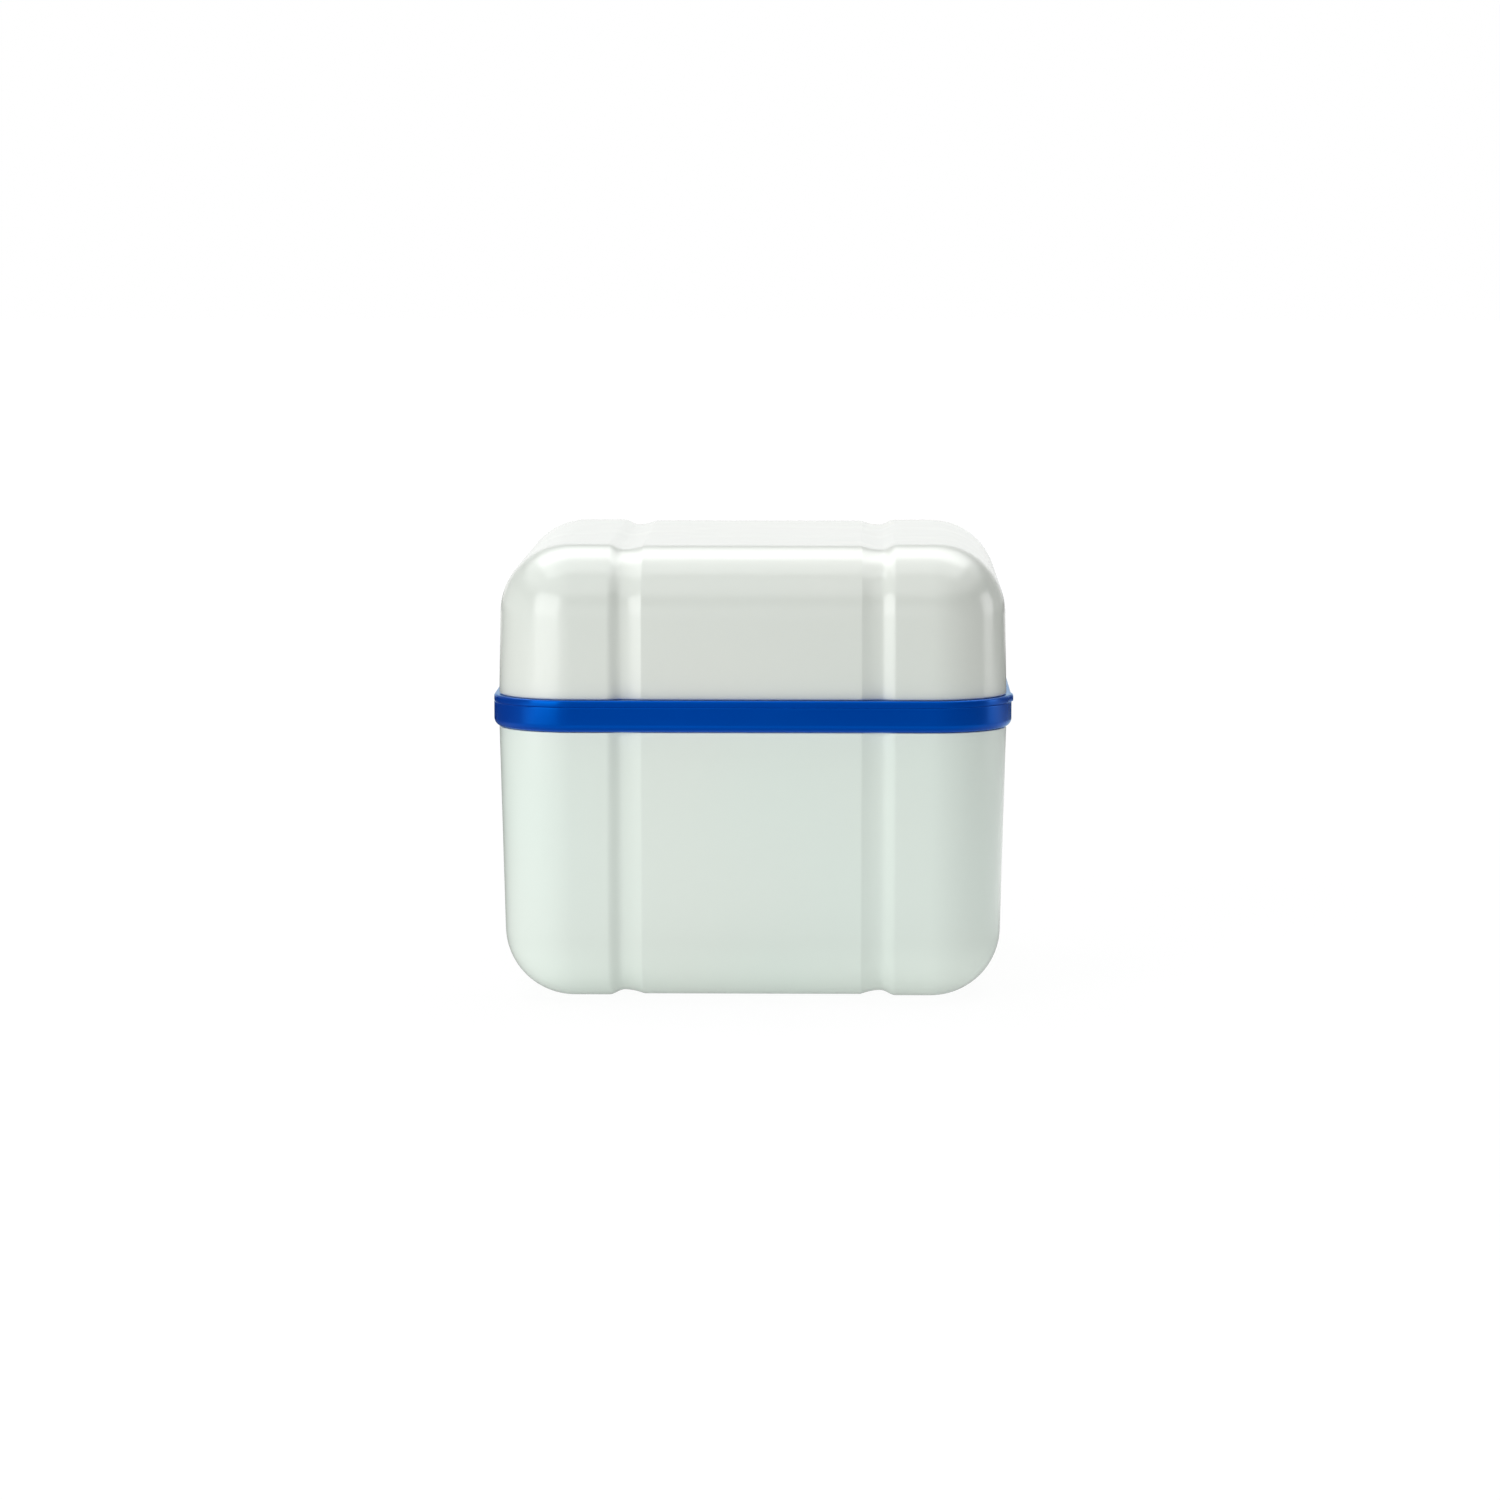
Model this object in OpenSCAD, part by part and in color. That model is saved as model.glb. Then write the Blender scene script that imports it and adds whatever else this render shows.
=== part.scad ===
// Denture soaking case: a white tub and a white lid meet at a blue rim band, and a blue
// strainer basket hangs between them by its flange. It stands on z = 0, centred on the z axis,
// with its front toward -y. All sizes are in millimetres.

/* [Case] */
// Width of the tub and the lid at the rim
body_w = 88; // [80:1:120]
// Depth of the tub and the lid at the rim
body_d = 88; // [80:1:120]
// Plan radius of the upright corners at the rim
corner_r = 13.2; // [12.6:0.2:18]
// Thickness of the tub's and the lid's walls
wall = 2; // [1.6:0.1:2.4]

/* [Tub] */
// Height of the tub up to the shoulder that carries the rim band
tub_h = 47.2; // [40:0.2:60]
// Draft of the tub's walls, in degrees
tub_draft = 1.5; // [0.5:0.1:2]
// Radius of the tub's bottom edge
tub_edge_r = 12; // [8:0.2:12]
// Height of the spigot that stands up inside the rim band
spigot_h = 2.4; // [1.6:0.1:2.8]

/* [Lid] */
// Height of the lid
lid_h = 26; // [22:0.2:36]
// Draft of the lid's walls, in degrees
lid_draft = 1; // [0.5:0.1:2]
// Radius of the lid's top edge
lid_edge_r = 12; // [8:0.2:12]
// Height of the thickened bead inside the tub's and the lid's rims
bead_h = 4; // [3:0.2:6]

/* [Grooves] */
// Distance of each moulded groove from the middle of the case
groove_x = 21.4; // [12:0.2:24]
// Width of a groove
groove_w = 5.6; // [4:0.2:8]
// Width of a groove's outer flank, which runs softly out into the panel beside it
flank_w = 3; // [2:0.1:3.4]
// Depth of a groove
groove_depth = 0.9; // [0.5:0.1:1]
// How far the panel between the grooves lies behind the panels beside them
panel_recess = 0.2; // [0.1:0.05:0.5]

/* [Rim band] */
// Height of the rim band
band_h = 4.4; // [4:0.1:6]
// How far the rim band stands out from the tub
band_proud = 0.9; // [0.5:0.1:1.5]
// Radius of the rim band's lower edge
band_round = 1.4; // [0.6:0.1:1.6]

/* [Basket] */
// Thickness of the flange that hangs the basket on the rim band
flange_t = 1.2; // [1:0.1:2]
// Thickness of the basket's walls and floor
basket_wall = 1.4; // [1.2:0.1:1.8]
// Draft of the basket's walls beyond the tub's, in degrees
basket_taper = 1; // [0.5:0.1:2]
// Radius of the basket's bottom edge
basket_edge_r = 7; // [4:0.2:7]
// Height of the liquid space under the basket
soak_gap = 5.8; // [5:0.2:10]
// Height of the lip that stands up inside the lid
lip_h = 2.6; // [2:0.1:4]
// Thickness of that lip
lip_t = 1.2; // [1:0.1:1.4]
// How far the pull lip on the right flank stands out from the flange
pull_out = 0.5; // [0.3:0.1:1]
// Length of the pull lip
pull_len = 58; // [20:1:60]
// Width of a drain slot
slot_w = 3; // [2:0.1:3.6]
// Length of a drain slot
slot_len = 22; // [12:1:24]
// Spacing of the drain slots
slot_pitch = 8; // [6:0.2:10]
// Diameter of a drain hole
hole_d = 3.6; // [2:0.1:3.8]
// Spacing of the drain holes
hole_pitch = 8.4; // [6:0.2:12]

/* [Seals] */
// Width of a seal ring
seal_w = 1; // [0.8:0.1:1.1]
// Height of a seal ring
seal_h = 0.8; // [0.6:0.1:1]

/* [Fits] */
// Gap between the basket's lip and the beads round it
lip_gap = 0.4; // [0.3:0.05:0.6]
// Gap between the spigot and the rim band
spigot_gap = 0.1; // [0.05:0.05:0.2]
// Gap on each side of a seal ring in its channel
seal_gap = 0.1; // [0.05:0.05:0.15]

/* [Hidden] */
$fn = 96;

white = [0.85, 0.88, 0.85];
blue = [0.02, 0.22, 0.6];
silicone = [0.8, 0.85, 0.9];

cover = 0.2;        // least material kept over a groove by the seat and the beads
panel_steps = 12;   // flats across one groove
skin = 0.02;        // how far the first flat of a groove starts outside the wall
root = 0.5;         // how deep a ridge or bead is rooted in the wall behind it
run_out = 1;        // how far a cut runs past a rim
lap = 0.1;          // overlap of an edge's arc with the block beside it
ledge = 0.1;        // flat of the flange outside the lid's foot
flange_edge = 0.3;  // height of the flange's upright edge

// Levels
band_top = tub_h + band_h;
flange_top = band_top + flange_t;
total_h = flange_top + lid_h;
basket_z = wall + soak_gap;

// Distances outward from the axes of the upright corners
bead_u = corner_r - wall - groove_depth - cover;       // inner face of the rim beads
seat_u = corner_r - groove_depth - cover;              // outer face of the spigot
band_u = corner_r + band_proud;                        // outer face of the rim band
basket_u = bead_u - lip_gap;                           // outer face of the basket's lip
seal_u = (bead_u + corner_r - groove_depth) / 2;       // middle of the seal rings

basket_draft = tub_draft + basket_taper;
basket_h = band_top - basket_z;

// The largest edge radius that the corner's plan radius leaves room for
function edge_limit(top_u, h, draft) = ((top_u - 0.2) * cos(draft) - h * sin(draft)) / (1 - sin(draft));
tub_edge = min(tub_edge_r, edge_limit(corner_r, tub_h, tub_draft));
lid_edge = min(lid_edge_r, edge_limit(corner_r, lid_h, lid_draft));
basket_edge = min(basket_edge_r, edge_limit(basket_u, basket_h, basket_draft));

// Centre of the edge radius, for a drafted wall that ends at [top_u, h]
function edge_u(top_u, h, draft, edge_r) =
    top_u - (edge_r + (h - edge_r) * sin(draft)) / cos(draft);

// Depth at a distance across a groove, from the outer panel to the middle one: a soft outer
// flank, then a hollow flank that meets the middle panel in a crease
function groove_at(across) = across < flank_w
    ? groove_depth * (1 - cos(180 * across / flank_w)) / 2
    : panel_recess + (groove_depth - panel_recess) * cos(90 * (across - flank_w) / (groove_w - flank_w));

// Outline across both grooves: [distance from the middle of the case, depth]
half_outline = [for (k = [0:panel_steps], across = groove_w * k / panel_steps)
    [groove_x + groove_w / 2 - across, k == 0 ? -skin : groove_at(across)]];
panel_outline = concat(
    [[groove_x + groove_w / 2, -root]],
    half_outline,
    [for (k = [panel_steps:-1:0]) [-half_outline[k][0], half_outline[k][1]]],
    [[-groove_x - groove_w / 2, -root]]);

// Region inside a drafted line with a round foot, from the corner axis outward
module cup_region(u, edge_z, r, draft, h) {
    foot = [u, edge_z] + r * [cos(draft), -sin(draft)];
    past = draft - 1;
    polygon([
        [0, edge_z - r],
        [u, edge_z - r],
        [u, edge_z],
        foot,
        foot + (h - foot[1]) * [tan(draft), 1],
        [0, h]]);
    translate([u, edge_z]) intersection() {
        circle(r);
        polygon([[-lap, lap], [-lap, -2 * r], [2 * r, -2 * r], 2 * r * [cos(past), -sin(past)]]);
    }
}

// Section through a cup's floor, rounded edge and drafted wall
module cup_section(top_u, h, draft, edge_r, t) {
    u = edge_u(top_u, h, draft, edge_r);
    difference() {
        cup_region(u, edge_r, edge_r, draft, h);
        cup_region(u, edge_r, edge_r - t, draft, h + run_out);
    }
}

// Carries a section round the case's plan: four corner turns and four straight sides
module round_plan() {
    half_x = body_w / 2 - corner_r;
    half_y = body_d / 2 - corner_r;
    corners = [[half_x, half_y], [-half_x, half_y], [-half_x, -half_y], [half_x, -half_y]];
    for (k = [0:3]) {
        side = k % 2 == 0 ? half_y : half_x;
        translate(corners[k]) rotate([0, 0, 90 * k]) {
            rotate_extrude(angle = 90) children();
            rotate([90, 0, 0]) linear_extrude(2 * side) children();
        }
    }
}

// Flat slab inside the corner axes
module middle_slab(z, t) {
    size = [body_w - 2 * corner_r, body_d - 2 * corner_r, t];
    translate([-size[0] / 2, -size[1] / 2, z]) cube(size);
}

// Sweeps the panel outline over the closed end, round both edges and up both walls,
// at a depth below the shell's outer face
module panel_sweep(h, draft, edge_r, inset, top) {
    y = body_d / 2 - corner_r + edge_u(corner_r, h, draft, edge_r);
    r = edge_r - inset;
    foot_z = edge_r - r * sin(draft);
    translate([0, 0, inset]) rotate([90, 0, 0])
        linear_extrude(2 * (y + lap), center = true) polygon(panel_outline);
    for (back = [0, 1]) mirror([0, back, 0]) {
        translate([0, y, edge_r]) rotate([0, 90, 0]) rotate_extrude(angle = 90 - draft)
            polygon([for (p = panel_outline) [r - p[1], p[0]]]);
        translate([0, y + r * cos(draft), foot_z]) rotate([-draft, 0, 0]) translate([0, 0, -lap])
            linear_extrude((top - foot_z) / cos(draft) + lap)
                polygon([for (p = panel_outline) [p[0], -p[1]]]);
    }
}

// One moulded half of the case, closed end at z = 0 and rim at z = h; children add to its rim
module shell(h, draft, edge_r) {
    root_u = corner_r - wall + root;
    difference() {
        union() {
            round_plan() {
                cup_section(corner_r, h, draft, edge_r, wall);
                polygon([
                    [root_u, h],
                    [bead_u, h],
                    [bead_u, h - bead_h],
                    [root_u, h - bead_h - (root_u - bead_u)]]);
            }
            middle_slab(0, wall);
            panel_sweep(h, draft, edge_r, wall, h - bead_h / 2);
        }
        panel_sweep(h, draft, edge_r, 0, h + run_out);
    }
}

module tub() {
    color(white) {
        shell(tub_h, tub_draft, tub_edge);
        round_plan() translate([bead_u, tub_h - root]) square([seat_u - bead_u, spigot_h + root]);
    }
}

module rim_band() {
    skirt_u = seat_u + spigot_gap;
    web_z = tub_h + spigot_h + 2 * spigot_gap;
    color(blue) round_plan() difference() {
        union() {
            translate([skirt_u, tub_h]) square([band_u - band_round - skirt_u, band_h]);
            translate([skirt_u, tub_h + band_round]) square([band_u - skirt_u, band_h - band_round]);
            intersection() {
                translate([band_u - band_round, tub_h + band_round]) circle(band_round);
                translate([skirt_u, tub_h - lap]) square(2 * band_round);
            }
            translate([bead_u, web_z]) square([skirt_u - bead_u, band_top - web_z]);
        }
        seal_channel(band_top - seal_h, band_top);
    }
}

// Channel for a seal ring, between two levels
module seal_channel(z0, z1) {
    translate([seal_u - seal_w / 2 - seal_gap, z0]) square([seal_w + 2 * seal_gap, z1 - z0]);
}

module seal_ring(z) {
    round_plan() translate([seal_u - seal_w / 2, z]) square([seal_w, seal_h]);
}

module tub_seal() {
    color(silicone) seal_ring(band_top - seal_h);
}

// Drain slot through two opposite walls, drawn across the case
module slot(x, length) {
    z = basket_z + basket_h / 2;
    translate([x, 0, z]) rotate([90, 0, 0]) linear_extrude(length, center = true) {
        square([slot_w, slot_len - slot_w], center = true);
        for (end = [-1, 1]) translate([0, end * (slot_len - slot_w) / 2]) circle(d = slot_w);
    }
}

// Places for a row of copies at a pitch, centred, within a reach on each side
function row(pitch, reach) = [for (k = [-floor(reach / pitch):floor(reach / pitch)]) k * pitch];

module basket() {
    flat_u = edge_u(basket_u, basket_h, basket_draft, basket_edge);
    color(blue) difference() {
        union() {
            round_plan() {
                translate([0, basket_z])
                    cup_section(basket_u, basket_h, basket_draft, basket_edge, basket_wall);
                basket_rim();
            }
            middle_slab(basket_z, basket_wall);
            pull_lip();
        }
        for (x = row(slot_pitch, body_w / 2 - corner_r - slot_w)) slot(x, body_d + 1);
        for (y = row(slot_pitch, body_d / 2 - corner_r - slot_w)) rotate([0, 0, 90]) slot(y, body_w + 1);
        for (x = row(hole_pitch, body_w / 2 - corner_r + flat_u - hole_d),
             y = row(hole_pitch, body_d / 2 - corner_r + flat_u - hole_d))
            translate([x, y, basket_z - 1]) cylinder(h = basket_wall + 2, d = hole_d);
    }
}

// Flange and upstanding lip, joined to the top of the basket's wall
module basket_rim() {
    inner_u = basket_u - lip_t;
    polygon([
        [inner_u, band_top],
        [band_u, band_top],
        [band_u, band_top + flange_edge],
        [corner_r + ledge, flange_top],
        [inner_u, flange_top]]);
    translate([inner_u, band_top]) square([lip_t, flange_t + lip_h - lip_t / 2]);
    translate([inner_u + lip_t / 2, flange_top + lip_h - lip_t / 2]) circle(d = lip_t);
}

// Wedge along the flange's right flank, to lift the basket by
module pull_lip() {
    translate([body_w / 2 - corner_r, pull_len / 2, 0]) rotate([90, 0, 0])
        linear_extrude(pull_len) polygon([
            [corner_r, band_top],
            [band_u + pull_out, band_top],
            [band_u + pull_out, band_top + flange_edge],
            [corner_r + ledge, flange_top],
            [corner_r, flange_top]]);
}

module lid() {
    color(white) difference() {
        translate([0, 0, total_h]) mirror([0, 0, 1]) shell(lid_h, lid_draft, lid_edge);
        round_plan() seal_channel(flange_top - 1, flange_top + seal_h);
    }
}

module lid_seal() {
    color(silicone) seal_ring(flange_top);
}

tub();
rim_band();
tub_seal();
basket();
lid();
lid_seal();
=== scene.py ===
from math import cos, hypot, pi, radians, sin, tan

import bmesh
import bpy
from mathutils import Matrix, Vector


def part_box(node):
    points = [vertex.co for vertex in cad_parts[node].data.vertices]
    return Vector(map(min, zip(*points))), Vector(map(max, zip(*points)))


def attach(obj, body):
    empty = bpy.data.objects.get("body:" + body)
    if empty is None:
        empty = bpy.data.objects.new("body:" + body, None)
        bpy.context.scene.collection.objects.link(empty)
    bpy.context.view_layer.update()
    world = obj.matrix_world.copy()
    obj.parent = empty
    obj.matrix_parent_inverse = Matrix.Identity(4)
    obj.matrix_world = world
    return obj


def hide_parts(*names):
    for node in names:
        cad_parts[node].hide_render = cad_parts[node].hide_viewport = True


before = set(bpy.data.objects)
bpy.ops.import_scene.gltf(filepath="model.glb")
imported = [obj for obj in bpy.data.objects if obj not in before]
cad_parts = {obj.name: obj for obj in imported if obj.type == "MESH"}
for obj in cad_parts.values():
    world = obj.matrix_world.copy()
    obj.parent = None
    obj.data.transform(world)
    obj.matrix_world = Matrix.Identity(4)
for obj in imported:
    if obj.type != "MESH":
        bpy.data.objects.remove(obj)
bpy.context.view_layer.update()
bpy.ops.object.select_all(action="DESELECT")


# ---------------------------------------------------------------------------
# Tub: the lower half of the case, a glossy white moulding with a 2 mm wall. Two
# grooves run over its floor and up its front and back, the panel between them
# is pressed in a little, and a spigot on the rim takes the blue band.
# ---------------------------------------------------------------------------
MM = 0.001

tub_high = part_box("tub")[1]
band_low, band_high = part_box("rim_band")
rim_half = tub_high.x
tub_h = band_low.z
spigot_top = tub_high.z

corner_r = 13.2 * MM
wall = 2 * MM
tub_draft = radians(1.5)
tub_edge_r = 12 * MM
bead_h = 4 * MM
groove_x = 21.85 * MM
groove_w = 6.2 * MM
groove_flank = 2.7 * MM
groove_depth = 0.9 * MM
panel_recess = 0.2 * MM
groove_cover = 0.2 * MM
shoulder_round = 0.15 * MM
rim_round = 0.3 * MM

axis = rim_half - corner_r
seat_u = corner_r - groove_depth - groove_cover
bead_u = seat_u - wall

CORNER_STEPS = 32
EDGE_STEPS = 36
GROOVE_STEPS = 20
MERGE = 0.001 * MM
NEAR = 10 * MERGE
SHARP = radians(40)


class Section:
    """The section of a piece, drawn point by point in the upright plane through the front
    right corner axis. u runs outward from that axis and z upward."""

    def __init__(self, name, u, z):
        bpy.ops.mesh.primitive_plane_add(size=MM, location=(0, 0, 0))
        self.piece = bpy.context.object
        self.piece.name = name
        bpy.ops.object.mode_set(mode="EDIT")
        bpy.ops.mesh.select_mode(type="VERT")
        bpy.ops.mesh.merge(type="CENTER")
        bpy.ops.transform.translate(value=(axis + u, -axis, z))
        self.u, self.z = u, z

    def line(self, u, z):
        bpy.ops.mesh.extrude_region_move(TRANSFORM_OT_translate={"value": (u - self.u, 0, z - self.z)})
        self.u, self.z = u, z

    def arc(self, centre_u, centre_z, angle, steps):
        """Turns about a centre, anticlockwise as seen from the front."""
        bpy.ops.mesh.spin(
            steps=steps, angle=angle, center=(axis + centre_u, -axis, centre_z), axis=(0, 1, 0)
        )
        u, z = self.u - centre_u, self.z - centre_z
        self.u = centre_u + u * cos(angle) - z * sin(angle)
        self.z = centre_z + u * sin(angle) + z * cos(angle)

    def sweep(self):
        """Carries the section round the case: along each side, then round the corner after it."""
        bpy.ops.mesh.select_all(action="SELECT")
        for x, y in ((1, 1), (-1, 1), (-1, -1), (1, -1)):
            side = (0, 2 * y * axis, 0) if x == y else (2 * x * axis, 0, 0)
            bpy.ops.mesh.extrude_region_move(TRANSFORM_OT_translate={"value": side})
            bpy.ops.mesh.spin(
                steps=CORNER_STEPS, angle=pi / 2, center=(x * axis, y * axis, 0), axis=(0, 0, -1)
            )
        bpy.ops.mesh.select_all(action="SELECT")
        bpy.ops.mesh.remove_doubles(threshold=MERGE)
        bpy.ops.mesh.select_all(action="DESELECT")
        bpy.ops.mesh.select_non_manifold()
        bpy.ops.mesh.fill_holes(sides=0)
        bpy.ops.mesh.select_all(action="SELECT")
        bpy.ops.mesh.normals_make_consistent(inside=False)
        return self.piece


def edge_axis(top_u, h, draft, edge_r):
    """How far out the centre of a cup's edge radius lies, for a drafted wall that ends at top_u."""
    return top_u - (edge_r + (h - edge_r) * sin(draft)) / cos(draft)


def draw_cup(name, floor_z, top_u, h, draft, edge_r, thickness, rim):
    """Sweeps a cup, from outside to inside: floor, rounded edge, drafted wall, the rim's own points,
    and back down the inner wall to the floor."""
    centre_u = edge_axis(top_u, h, draft, edge_r)
    centre_z = floor_z + edge_r
    inner_r = edge_r - thickness
    section = Section(name, centre_u, floor_z)
    section.arc(centre_u, centre_z, pi / 2 - draft, EDGE_STEPS)
    for u, z in rim:
        section.line(u, z)
    section.line(centre_u + inner_r * cos(draft), centre_z - inner_r * sin(draft))
    section.arc(centre_u, centre_z, draft - pi / 2, EDGE_STEPS)
    return section.sweep()


def out_of(co):
    """How far a point lies outward from the corner axes."""
    return hypot(max(abs(co.x) - axis, 0), max(abs(co.y) - axis, 0))


def soften(piece, radius, places):
    """Rounds the edges that run round a piece at the given places of its section."""
    bpy.ops.mesh.select_mode(type="EDGE")
    bpy.ops.mesh.select_all(action="DESELECT")
    mesh = bmesh.from_edit_mesh(piece.data)
    for edge in mesh.edges:
        edge.select_set(any(
            all(hypot(out_of(v.co) - u, v.co.z - z) < NEAR for v in edge.verts)
            for u, z in places
        ))
    bmesh.update_edit_mesh(piece.data)
    bpy.ops.mesh.bevel(offset=radius, segments=3, profile=0.5)


def groove_at(across):
    """Depth at a distance across a groove, from the outer panel to the middle one: a soft outer
    flank, then a hollow flank that meets the middle panel in a crease."""
    if across < groove_flank:
        return groove_depth * (1 - cos(pi * across / groove_flank)) / 2
    inner = (across - groove_flank) / (groove_w - groove_flank)
    return panel_recess + (groove_depth - panel_recess) * cos(pi / 2 * min(inner, 1))


def press_panels(piece, h, draft, edge_r):
    """Cuts the mesh along both grooves and presses the grooves and the panel between them into
    both skins, square to the floor, the edges and the walls. The rim's beads stay."""
    outer_x = groove_x + groove_w / 2
    bpy.ops.mesh.select_all(action="SELECT")
    for k in range(GROOVE_STEPS + 1):
        for side in (-1, 1):
            column = side * (outer_x - groove_w * k / GROOVE_STEPS)
            bpy.ops.mesh.bisect(plane_co=(column, 0, 0), plane_no=(1, 0, 0))
            bpy.ops.mesh.select_all(action="SELECT")
    bpy.ops.object.mode_set(mode="OBJECT")
    core_y = axis + edge_axis(corner_r, h, draft, edge_r)
    bead_foot = h - bead_h - wall
    for vertex in piece.data.vertices:
        place = vertex.co
        across = outer_x - abs(place.x)
        on_rim_inside = place.z > bead_foot and out_of(place) < seat_u + MERGE
        if across <= MERGE or (on_rim_inside and not on_wall(place, h, draft)):
            continue
        core = Vector((place.x, max(-core_y, min(core_y, place.y)), max(edge_r, place.z)))
        vertex.co += (core - place).normalized() * groove_at(across)


def on_wall(place, h, draft):
    """Whether a point of a shell's rim still lies on the plain inner wall."""
    return abs(out_of(place) - inner_wall(place.z, h, draft)) < NEAR


def inner_wall(z, h, draft):
    """How far out a shell's inner wall lies at a height."""
    return corner_r - wall / cos(draft) - (h - z) * tan(draft)


def bead_chamfer(h, draft):
    """Where the slope under the rim's bead meets the inner wall."""
    run = (inner_wall(h - bead_h, h, draft) - bead_u) / (1 + tan(draft))
    return bead_u + run, h - bead_h - run


def finish_surface(piece):
    """Smooths a finished mesh, with its flats kept flat."""
    bpy.ops.object.mode_set(mode="OBJECT")
    bpy.ops.object.shade_smooth_by_angle(angle=SHARP)
    weighted = piece.modifiers.new("flat panels", "WEIGHTED_NORMAL")
    weighted.keep_sharp = True
    bpy.ops.object.modifier_apply(modifier=weighted.name)
    piece.select_set(False)


class Wire:
    """A value in a material. Sums on it add Math nodes, and node() adds any other node."""

    def __init__(self, tree, socket=None):
        self.tree, self.socket = tree, socket

    def node(self, kind, settings, inputs, output=0):
        made = self.tree.nodes.new(kind)
        for name, value in settings.items():
            setattr(made, name, value)
        for key, value in inputs.items():
            if isinstance(value, Wire):
                self.tree.links.new(value.socket, made.inputs[key])
            else:
                made.inputs[key].default_value = value
        return None if output is None else Wire(self.tree, made.outputs[output])

    def math(self, operation, first, second=0.0):
        return self.node("ShaderNodeMath", {"operation": operation}, {0: first, 1: second})

    def __add__(self, other):
        return self.math("ADD", self, other)

    def __radd__(self, other):
        return self.math("ADD", other, self)

    def __sub__(self, other):
        return self.math("SUBTRACT", self, other)

    def __rsub__(self, other):
        return self.math("SUBTRACT", other, self)

    def __mul__(self, other):
        return self.math("MULTIPLY", self, other)

    def clamp(self):
        return self.node("ShaderNodeClamp", {}, {"Value": self})

    def ramp(self, start, end, first, last):
        """Runs smoothly from first to last while this value runs from start to end."""
        return self.node(
            "ShaderNodeMapRange",
            {"interpolation_type": "SMOOTHSTEP"},
            {0: self, 1: start, 2: end, 3: first, 4: last},
        )

    def along(self, number):
        """One coordinate of a place or a direction: 0 to the right, 1 to the back, 2 upward."""
        return self.node("ShaderNodeSeparateXYZ", {}, {0: self}, output=number)

    def size(self):
        return self.node("ShaderNodeVectorMath", {"operation": "LENGTH"}, {0: self}, output="Value")

    def either_way(self):
        return self.math("ABSOLUTE", self)

    def noise(self, place, scale, detail):
        return self.node(
            "ShaderNodeTexNoise", {}, {"Vector": place, "Scale": scale, "Detail": detail}
        )

    def mix(self, share, low, high):
        return self.node(
            "ShaderNodeMix", {"data_type": "RGBA"}, {0: share, 6: low, 7: high}, output=2
        )


def srgb(red, green, blue):
    """A colour given as it shows on a screen, 0 to 255."""
    shares = (c / 255 for c in (red, green, blue))
    return (*(c / 12.92 if c <= 0.04045 else ((c + 0.055) / 1.055) ** 2.4 for c in shares), 1)


DRIFT_SCALE, DRIFT_CONTRAST = 22.0, 2.2
WORN_SCALE, WORN_ROUGHNESS = 60.0, 0.035
PEEL_SCALE = 420.0


def moulded_plastic(name, pale, deep, gloss_roughness, peel, gloss):
    """Plastic or silicone from a mould: its tone drifts a little every few centimetres, its gloss
    carries a fine orange peel, and handling has dulled it in soft patches. The noises are scaled per
    metre, peel is the orange peel's depth, and gloss holds what is even all over."""
    material = bpy.data.materials.new(name)
    material.use_nodes = True
    tree = material.node_tree
    tree.nodes.clear()
    start = Wire(tree)
    place = start.node("ShaderNodeTexCoord", {}, {}, output="Object")
    drift = start.noise(place, DRIFT_SCALE, 1.0)
    worn = start.noise(place, WORN_SCALE, 5.0)
    grain = start.noise(place, PEEL_SCALE, 2.0)
    colour = start.mix(((drift - 0.5) * DRIFT_CONTRAST + 0.5).clamp(), pale, deep)
    roughness = gloss_roughness + worn.ramp(0.4, 0.75, 0.0, WORN_ROUGHNESS)
    bump = start.node("ShaderNodeBump", {}, {"Strength": 1.0, "Distance": peel, "Height": grain})
    surface = start.node(
        "ShaderNodeBsdfPrincipled",
        {},
        {
            "Base Color": colour,
            "Roughness": roughness,
            "Normal": bump,
            **gloss,
        },
    )
    surface.node("ShaderNodeOutputMaterial", {}, {"Surface": surface}, output=None)
    return material


shell_roughness = 0.2
shell_peel = 0.0015 * MM
white_gloss = {"IOR": 1.5, "Coat Weight": 0.4, "Coat Roughness": 0.17}
tub_white = moulded_plastic(
    "greenish white plastic",
    srgb(225, 233, 225),
    srgb(222, 234, 226),
    shell_roughness,
    shell_peel,
    white_gloss,
)

tub_rim = [
    (corner_r, tub_h),
    (seat_u, tub_h),
    (seat_u, spigot_top),
    (bead_u, spigot_top),
    (bead_u, tub_h - bead_h),
    bead_chamfer(tub_h, tub_draft),
]
tub = draw_cup("white_tub", 0, corner_r, tub_h, tub_draft, tub_edge_r, wall, tub_rim)
soften(tub, shoulder_round, [tub_rim[0]])
soften(tub, rim_round, [tub_rim[2], tub_rim[3], tub_rim[4]])
press_panels(tub, tub_h, tub_draft, tub_edge_r)
finish_surface(tub)
tub.data.materials.append(tub_white)
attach(tub, "tub_body")
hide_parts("tub")


# ---------------------------------------------------------------------------
# Rim band: a blue collar pressed onto the tub's spigot. Its lower edge is
# rounded, and a channel in its top holds the tub's seal.
# ---------------------------------------------------------------------------
seal_low, seal_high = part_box("tub_seal")
band_u = band_high.x - axis
band_top = band_high.z
band_round = 1.4 * MM
band_edge_round = 0.2 * MM
channel_round = 0.12 * MM
spigot_gap = 0.1 * MM
seal_w = 1 * MM
seal_gap = 0.1 * MM
channel_out = seal_high.x - axis + seal_gap
channel_in = channel_out - seal_w - 2 * seal_gap
channel_z = seal_low.z
BAND_STEPS = 8

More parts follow.
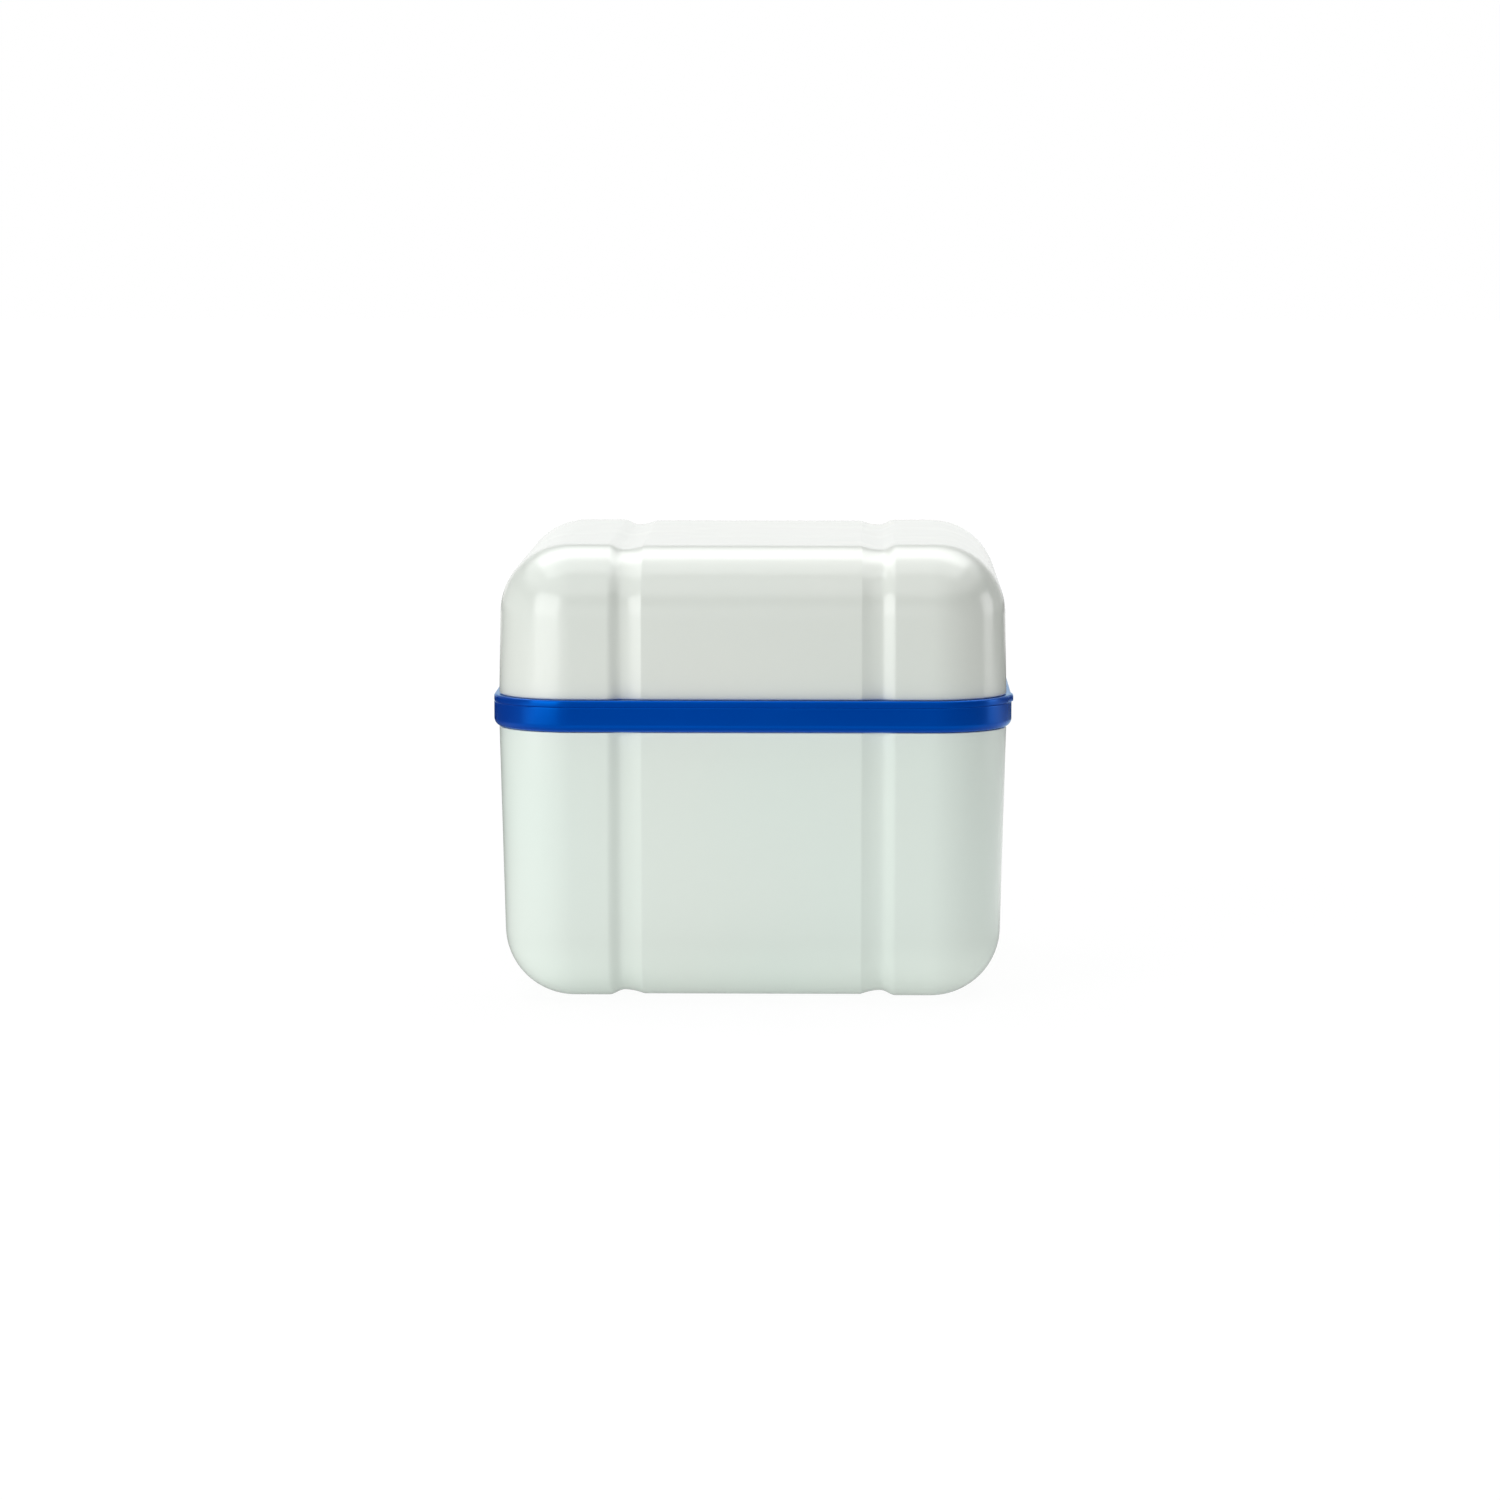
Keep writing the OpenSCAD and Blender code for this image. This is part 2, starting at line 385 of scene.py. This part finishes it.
blue_plastic = moulded_plastic(
    "blue plastic",
    srgb(0, 64, 172),
    srgb(0, 61, 165),
    shell_roughness,
    shell_peel,
    {"IOR": 1.33, "Specular IOR Level": 1.0, "Specular Tint": (0, 0.8, 1, 1), "Metallic": 0.35},
)

skirt_u = seat_u + spigot_gap
web_z = spigot_top + 2 * spigot_gap
section = Section("blue_rim_band", skirt_u, tub_h)
section.line(band_u - band_round, tub_h)
section.arc(band_u - band_round, tub_h + band_round, pi / 2, BAND_STEPS)
for u, z in (
    (band_u, band_top),
    (channel_out, band_top),
    (channel_out, channel_z),
    (channel_in, channel_z),
    (channel_in, band_top),
    (bead_u, band_top),
    (bead_u, web_z),
    (skirt_u, web_z),
    (skirt_u, tub_h),
):
    section.line(u, z)
band = section.sweep()
soften(band, band_edge_round, [(band_u, band_top)])
soften(band, channel_round, [
    (channel_out, band_top), (channel_in, band_top), (bead_u, band_top), (bead_u, web_z)
])
finish_surface(band)
band.data.materials.append(blue_plastic)
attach(band, "tub_body")
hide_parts("rim_band")


# ---------------------------------------------------------------------------
# Tub seal: a milky silicone ring, cast with rounded edges and pushed into the
# channel of the band.
# ---------------------------------------------------------------------------
seal_round = 0.25 * MM


def seal_ring(name, low, high):
    """A ring that fills the height of its channel, with its four edges rounded."""
    outer = high.x - axis
    inner = outer - seal_w
    corners = [(outer, low.z), (outer, high.z), (inner, high.z), (inner, low.z)]
    section = Section(name, inner, low.z)
    for u, z in corners:
        section.line(u, z)
    ring = section.sweep()
    soften(ring, seal_round, corners)
    finish_surface(ring)
    return ring


silicone_roughness = 0.45
silicone_peel = 0.006 * MM
silicone = moulded_plastic(
    "milky silicone",
    srgb(214, 222, 226),
    srgb(206, 215, 221),
    silicone_roughness,
    silicone_peel,
    {"IOR": 1.41},
)
tub_seal = seal_ring("tub_seal_ring", seal_low, seal_high)
tub_seal.data.materials.append(silicone)
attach(tub_seal, "tub_body")
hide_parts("tub_seal")


# ---------------------------------------------------------------------------
# Strainer basket: one blue moulding that hangs in the tub by its flange. Slots
# in its walls and holes in its floor drain it, a lip on the flange centres the
# lid, and a small nub for the thumb stands out near the right flank's front end.
# ---------------------------------------------------------------------------
basket_low, basket_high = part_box("basket")
basket_wall = 1.4 * MM
basket_draft = radians(2.5)
basket_edge_r = 7 * MM
lip_t = 1.2 * MM
lip_gap = 0.4 * MM
lip_round = 0.55 * MM
flange_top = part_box("lid")[0].z
flange_round = 0.35 * MM
flange_foot_round = 0.12 * MM
nub_y = -31 * MM
nub_half = 3.5 * MM
nub_ramp = 2.5 * MM
nub_out = 0.3 * MM
NUB_STEPS = 5
slot_count, slot_w, slot_len, slot_pitch = 7, 3 * MM, 22 * MM, 8 * MM
hole_count, hole_d, hole_pitch = 7, 3.6 * MM, 8.4 * MM
opening_round = 0.2 * MM
SLOT_END_STEPS = 10
HOLE_SIDES = 32
OPENING_EDGE = radians(60)

basket_z = basket_low.z
basket_h = band_top - basket_z
basket_u = bead_u - lip_gap
lip_top = basket_high.z
lip_u = basket_u - lip_t
basket_rim = [
    (basket_u, band_top),
    (band_u, band_top),
    (band_u, flange_top),
    (basket_u, flange_top),
    (basket_u, lip_top),
    (lip_u, lip_top),
    (lip_u, flange_top),
    (basket_u - basket_wall / cos(basket_draft), band_top),
]
basket = draw_cup(
    "strainer_basket",
    basket_z,
    basket_u,
    basket_h,
    basket_draft,
    basket_edge_r,
    basket_wall,
    basket_rim,
)
soften(basket, lip_round, [(basket_u, lip_top), (lip_u, lip_top)])
soften(basket, flange_foot_round, [(band_u, band_top)])
soften(basket, flange_round, [(band_u, flange_top)])


def nub_share(y):
    """How far the thumb nub stands out at a place along the flank, as a share of nub_out."""
    t = max(0, min(1, (nub_half - abs(y - nub_y)) / nub_ramp))
    return t * t * (3 - 2 * t)


bpy.ops.mesh.select_all(action="SELECT")
for k in range(NUB_STEPS + 1):
    for side in (-1, 1):
        cut = nub_y + side * (nub_half - nub_ramp * k / NUB_STEPS)
        bpy.ops.mesh.bisect(plane_co=(0, cut, 0), plane_no=(0, 1, 0))
        bpy.ops.mesh.select_all(action="SELECT")
bpy.ops.object.mode_set(mode="OBJECT")
for vertex in basket.data.vertices:
    if vertex.co.x > axis and out_of(vertex.co) > corner_r:
        vertex.co.x += nub_out * nub_share(vertex.co.y)


def cut_openings(piece, cutters):
    """Cuts like openings out of a piece, all at once."""
    bpy.ops.object.select_all(action="DESELECT")
    for cutter in cutters:
        cutter.select_set(True)
    bpy.context.view_layer.objects.active = cutters[0]
    bpy.ops.object.join()
    joined = bpy.context.object
    bpy.ops.object.select_all(action="DESELECT")
    piece.select_set(True)
    bpy.context.view_layer.objects.active = piece
    opening = piece.modifiers.new("openings", "BOOLEAN")
    opening.operation = "DIFFERENCE"
    opening.solver = "EXACT"
    opening.object = joined
    bpy.ops.object.modifier_apply(modifier=opening.name)
    bpy.data.objects.remove(joined)


def slot_cutter(across, along_x):
    """A bar with the section of a slot, round at both ends, that runs through two opposite walls."""
    reach = 2 * rim_half
    middle_z = basket_z + basket_h / 2
    size = (reach, slot_w, slot_len) if along_x else (slot_w, reach, slot_len)
    centre = (0, across, middle_z) if along_x else (across, 0, middle_z)
    bpy.ops.mesh.primitive_cube_add(size=1, location=centre, scale=size)
    bpy.ops.object.mode_set(mode="EDIT")
    bpy.ops.mesh.select_mode(type="EDGE")
    bpy.ops.mesh.select_all(action="DESELECT")
    mesh = bmesh.from_edit_mesh(bpy.context.object.data)
    for edge in mesh.edges:
        edge.select_set(edge.calc_length() > 2 * slot_len)
    bmesh.update_edit_mesh(bpy.context.object.data)
    bpy.ops.mesh.bevel(offset=slot_w / 2, segments=SLOT_END_STEPS, profile=0.5)
    bpy.ops.object.mode_set(mode="OBJECT")
    return bpy.context.object


def row(count, pitch):
    """The places of a row of openings, evenly about the middle."""
    return [(k - (count - 1) / 2) * pitch for k in range(count)]


for along_x in (False, True):
    cut_openings(basket, [slot_cutter(across, along_x) for across in row(slot_count, slot_pitch)])
holes = []
for x in row(hole_count, hole_pitch):
    for y in row(hole_count, hole_pitch):
        bpy.ops.mesh.primitive_cylinder_add(
            vertices=HOLE_SIDES, radius=hole_d / 2, depth=4 * basket_wall, location=(x, y, basket_z)
        )
        holes.append(bpy.context.object)
cut_openings(basket, holes)

# Below the flange, only the openings have sharp edges, and these are rounded a little.
bpy.ops.object.mode_set(mode="EDIT")
bpy.ops.mesh.select_all(action="DESELECT")
mesh = bmesh.from_edit_mesh(basket.data)
for edge in mesh.edges:
    below_flange = all(vertex.co.z < band_top - bead_h for vertex in edge.verts)
    edge.select_set(below_flange and edge.calc_face_angle(0) > OPENING_EDGE)
bmesh.update_edit_mesh(basket.data)
bpy.ops.mesh.bevel(offset=opening_round, segments=2, profile=0.5)
finish_surface(basket)
basket.data.materials.append(blue_plastic)
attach(basket, "basket_body")
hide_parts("basket")


# ---------------------------------------------------------------------------
# Lid: the upper half, moulded like the tub and with the same grooves. It is
# drawn with its closed end down, like a second tub, and then mirrored upward so
# that it stands on the flange. A channel in its rim holds the lid's seal.
# ---------------------------------------------------------------------------
case_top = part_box("lid")[1].z
lid_h = case_top - flange_top
lid_draft = radians(1)
lid_edge_r = 12 * MM
lid_foot_round = 0.3 * MM
lid_mouth_round = 0.15 * MM
channel_h = seal_high.z - seal_low.z

lid_white = moulded_plastic(
    "white plastic",
    srgb(225, 229, 222),
    srgb(222, 229, 222),
    shell_roughness,
    shell_peel,
    white_gloss,
)
lid_rim = [
    (corner_r, lid_h),
    (channel_out, lid_h),
    (channel_out, lid_h - channel_h),
    (channel_in, lid_h - channel_h),
    (channel_in, lid_h),
    (bead_u, lid_h),
    (bead_u, lid_h - bead_h),
    bead_chamfer(lid_h, lid_draft),
]
lid = draw_cup("white_lid", 0, corner_r, lid_h, lid_draft, lid_edge_r, wall, lid_rim)
soften(lid, lid_foot_round, [lid_rim[0]])
soften(lid, lid_mouth_round, [lid_rim[5]])
soften(lid, rim_round, [lid_rim[6]])
press_panels(lid, lid_h, lid_draft, lid_edge_r)
bpy.ops.object.mode_set(mode="EDIT")
bpy.ops.mesh.select_all(action="SELECT")
bpy.ops.transform.resize(value=(1, 1, -1), center_override=(0, 0, 0))
bpy.ops.transform.translate(value=(0, 0, case_top))
bpy.ops.mesh.normals_make_consistent(inside=False)
finish_surface(lid)
lid.data.materials.append(lid_white)
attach(lid, "lid_body")
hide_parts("lid")


# ---------------------------------------------------------------------------
# Lid seal: the same silicone ring, in the channel of the lid's rim.
# ---------------------------------------------------------------------------
lid_seal = seal_ring("lid_seal_ring", *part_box("lid_seal"))
lid_seal.data.materials.append(silicone)
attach(lid_seal, "lid_body")
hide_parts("lid_seal")


# ---------------------------------------------------------------------------
# Studio: the case stands on a table of softly glowing white acrylic, which keeps
# its shadow, in white surroundings. Two large soft lamps hang above, one stands
# in front on the left, and a smaller one on the right.
# ---------------------------------------------------------------------------
table_size = 8.0
table_glow = 0.67
table_share = 0.4
table_white = 1.03
foot_shade = 0.72
surroundings_glow = 0.1

bpy.ops.mesh.primitive_plane_add(size=table_size, location=(0, 0, 0))
table = bpy.context.object
table.name = "table"


def ray_kinds(start):
    """Whether a ray comes from the camera, from gloss, or from a matt surface."""
    seen = start.node("ShaderNodeLightPath", {}, {})
    outputs = seen.socket.node.outputs
    glossy = Wire(start.tree, outputs["Is Glossy Ray"])
    through = Wire(start.tree, outputs["Is Transmission Ray"])
    mirrored = (glossy + through).clamp()
    return seen, mirrored, (1 - (seen + mirrored)).clamp()


table_paint = bpy.data.materials.new("glowing table")
table_paint.use_nodes = True
table_paint.node_tree.nodes.clear()
start = Wire(table_paint.node_tree)
seen, mirrored, spread = ray_kinds(start)
place = start.node("ShaderNodeTexCoord", {}, {}, output="Object")
distance = place.size()
right = place.along(0)
depth = place.along(1)
aside = right.either_way()

# The gloss mirrors the table near the case, with a painted shadow right under the case and painted
# shade that leaves less of it behind and hardly any behind on the left.
near_table_with_painted_shade = distance.ramp(0.05, 0.14, 0.4, 1.0) * distance.ramp(0.15, 0.6, 0.95, 0.15)
near_table_with_painted_shade = near_table_with_painted_shade * depth.ramp(0.3, 0.42, 1.0, 0.15)
near_table_with_painted_shade = near_table_with_painted_shade * (1 - depth.ramp(-0.1, 0.1, 0.0, 0.85) * right.ramp(-0.1, 0.1, 1.0, 0.0))
# Far behind, it meets the white surroundings.
far_table = depth.ramp(0.56, 0.72, 0.0, 0.95) * aside.ramp(0.3, 0.6, 1.0, 0.0)
# Painted pools of light lie on the table, one on the side of the left lamp and one on the side of the
# right lamp, and only the gloss mirrors them.
left_painted_pool = right.ramp(-0.75, -0.6, 0.0, 2.2) * right.ramp(-0.4, -0.32, 1.0, 0.0)
left_painted_pool = left_painted_pool * depth.ramp(-0.2, -0.1, 1.0, 0.0)
right_painted_pool = right.ramp(0.3, 0.45, 0.0, 0.9)
right_painted_pool = right_painted_pool * depth.ramp(-0.1, 0.0, 0.0, 1.0) * depth.ramp(0.2, 0.3, 1.0, 0.0)
# Matt surfaces get the table's glow, shaded under the case and towards the right.
matt_glow = distance.ramp(0.045, 0.065, foot_shade, 1.0) * right.ramp(0.05, 0.2, 1.0, 0.5)

share = seen * distance.ramp(0.1, 0.45, 0.9, 1.0) + mirrored + spread * table_share
glow = (
    seen * table_white
    + mirrored * (near_table_with_painted_shade + far_table + left_painted_pool + right_painted_pool)
    + spread * matt_glow * (table_glow / table_share)
)
matt = start.node("ShaderNodeBsdfDiffuse", {}, {"Color": srgb(245, 246, 245)})
bright = start.node("ShaderNodeEmission", {}, {"Color": (1, 1, 1, 1), "Strength": glow})
surface = start.node("ShaderNodeMixShader", {}, {0: share, 1: matt, 2: bright})
start.node("ShaderNodeOutputMaterial", {}, {"Surface": surface}, output=None)
table.data.materials.append(table_paint)

world = bpy.data.worlds.new("white surroundings")
bpy.context.scene.world = world
world.use_nodes = True
world.node_tree.nodes.clear()
start = Wire(world.node_tree)
seen, mirrored, spread = ray_kinds(start)
toward = start.node("ShaderNodeTexCoord", {}, {}, output="Generated")
aside = toward.along(0).either_way()
height = toward.along(2)
# The gloss mirrors a backdrop that dims upward and sideways, under a bright ring of ceiling.
backdrop = height.ramp(0.15, 0.4, 1.0, 0.6) * aside.ramp(0.25, 0.65, 1.0, 0.4)
ceiling = height.ramp(0.45, 0.65, 0.0, 1.4) - height.ramp(0.85, 1.0, 0.0, 1.0)
strength = seen + mirrored * (backdrop + ceiling) + spread * surroundings_glow
background = start.node("ShaderNodeBackground", {}, {"Color": (1, 1, 1, 1), "Strength": strength})
start.node("ShaderNodeOutputWorld", {}, {"Surface": background}, output=None)

case_middle = Vector((0, 0, case_top / 2))


def softbox(name, azimuth, elevation, distance, width, height, power):
    """A rectangular lamp turned to the middle of the case. Its azimuth counts from the front to the
    right and its elevation upward, in degrees. Its power is in watts."""
    lamp = bpy.data.lights.new(name, "AREA")
    lamp.shape = "RECTANGLE"
    lamp.size, lamp.size_y = width, height
    lamp.energy = power
    holder = bpy.data.objects.new(name, lamp)
    bpy.context.scene.collection.objects.link(holder)
    flat = distance * cos(radians(elevation))
    away = Vector((
        flat * sin(radians(azimuth)), -flat * cos(radians(azimuth)), distance * sin(radians(elevation))
    ))
    holder.location = case_middle + away
    holder.rotation_euler = (-away).to_track_quat("-Z", "Y").to_euler()


softbox("overhead lamp", 180, 84, distance=0.9, width=1.3, height=0.8, power=6.0)
softbox("lamp above the back", 180, 62, distance=0.95, width=1.2, height=0.5, power=2.2)
softbox("left lamp", -43, 15, distance=1.1, width=0.78, height=0.66, power=5.65)
softbox("right lamp", 98, 10, distance=1.1, width=0.42, height=0.45, power=1.5)


# ---------------------------------------------------------------------------
# Camera: a long lens almost straight in front, a little above the lid.
# ---------------------------------------------------------------------------
IMAGE_SIDE = 1500
FOCAL_PX = 5327
MIDDLE_PX = (755.9, 750.2)
SENSOR_MM = 36
CAMERA_PLACE = (0.017, -0.951, 0.144)

camera_data = bpy.data.cameras.new("camera")
camera = bpy.data.objects.new("camera", camera_data)
bpy.context.scene.collection.objects.link(camera)
camera_data.sensor_width = SENSOR_MM
camera_data.lens = FOCAL_PX / IMAGE_SIDE * SENSOR_MM
camera.location = CAMERA_PLACE
toward = case_middle - camera.location
side = toward.cross(Vector((0, 0, 1))).normalized()
up = side.cross(toward).normalized()
aim = (
    toward
    - side * toward.length * (MIDDLE_PX[0] - IMAGE_SIDE / 2) / FOCAL_PX
    + up * toward.length * (MIDDLE_PX[1] - IMAGE_SIDE / 2) / FOCAL_PX
)
camera.rotation_euler = aim.to_track_quat("-Z", "Y").to_euler()
bpy.context.scene.camera = camera
bpy.context.scene.view_settings.view_transform = "Standard"
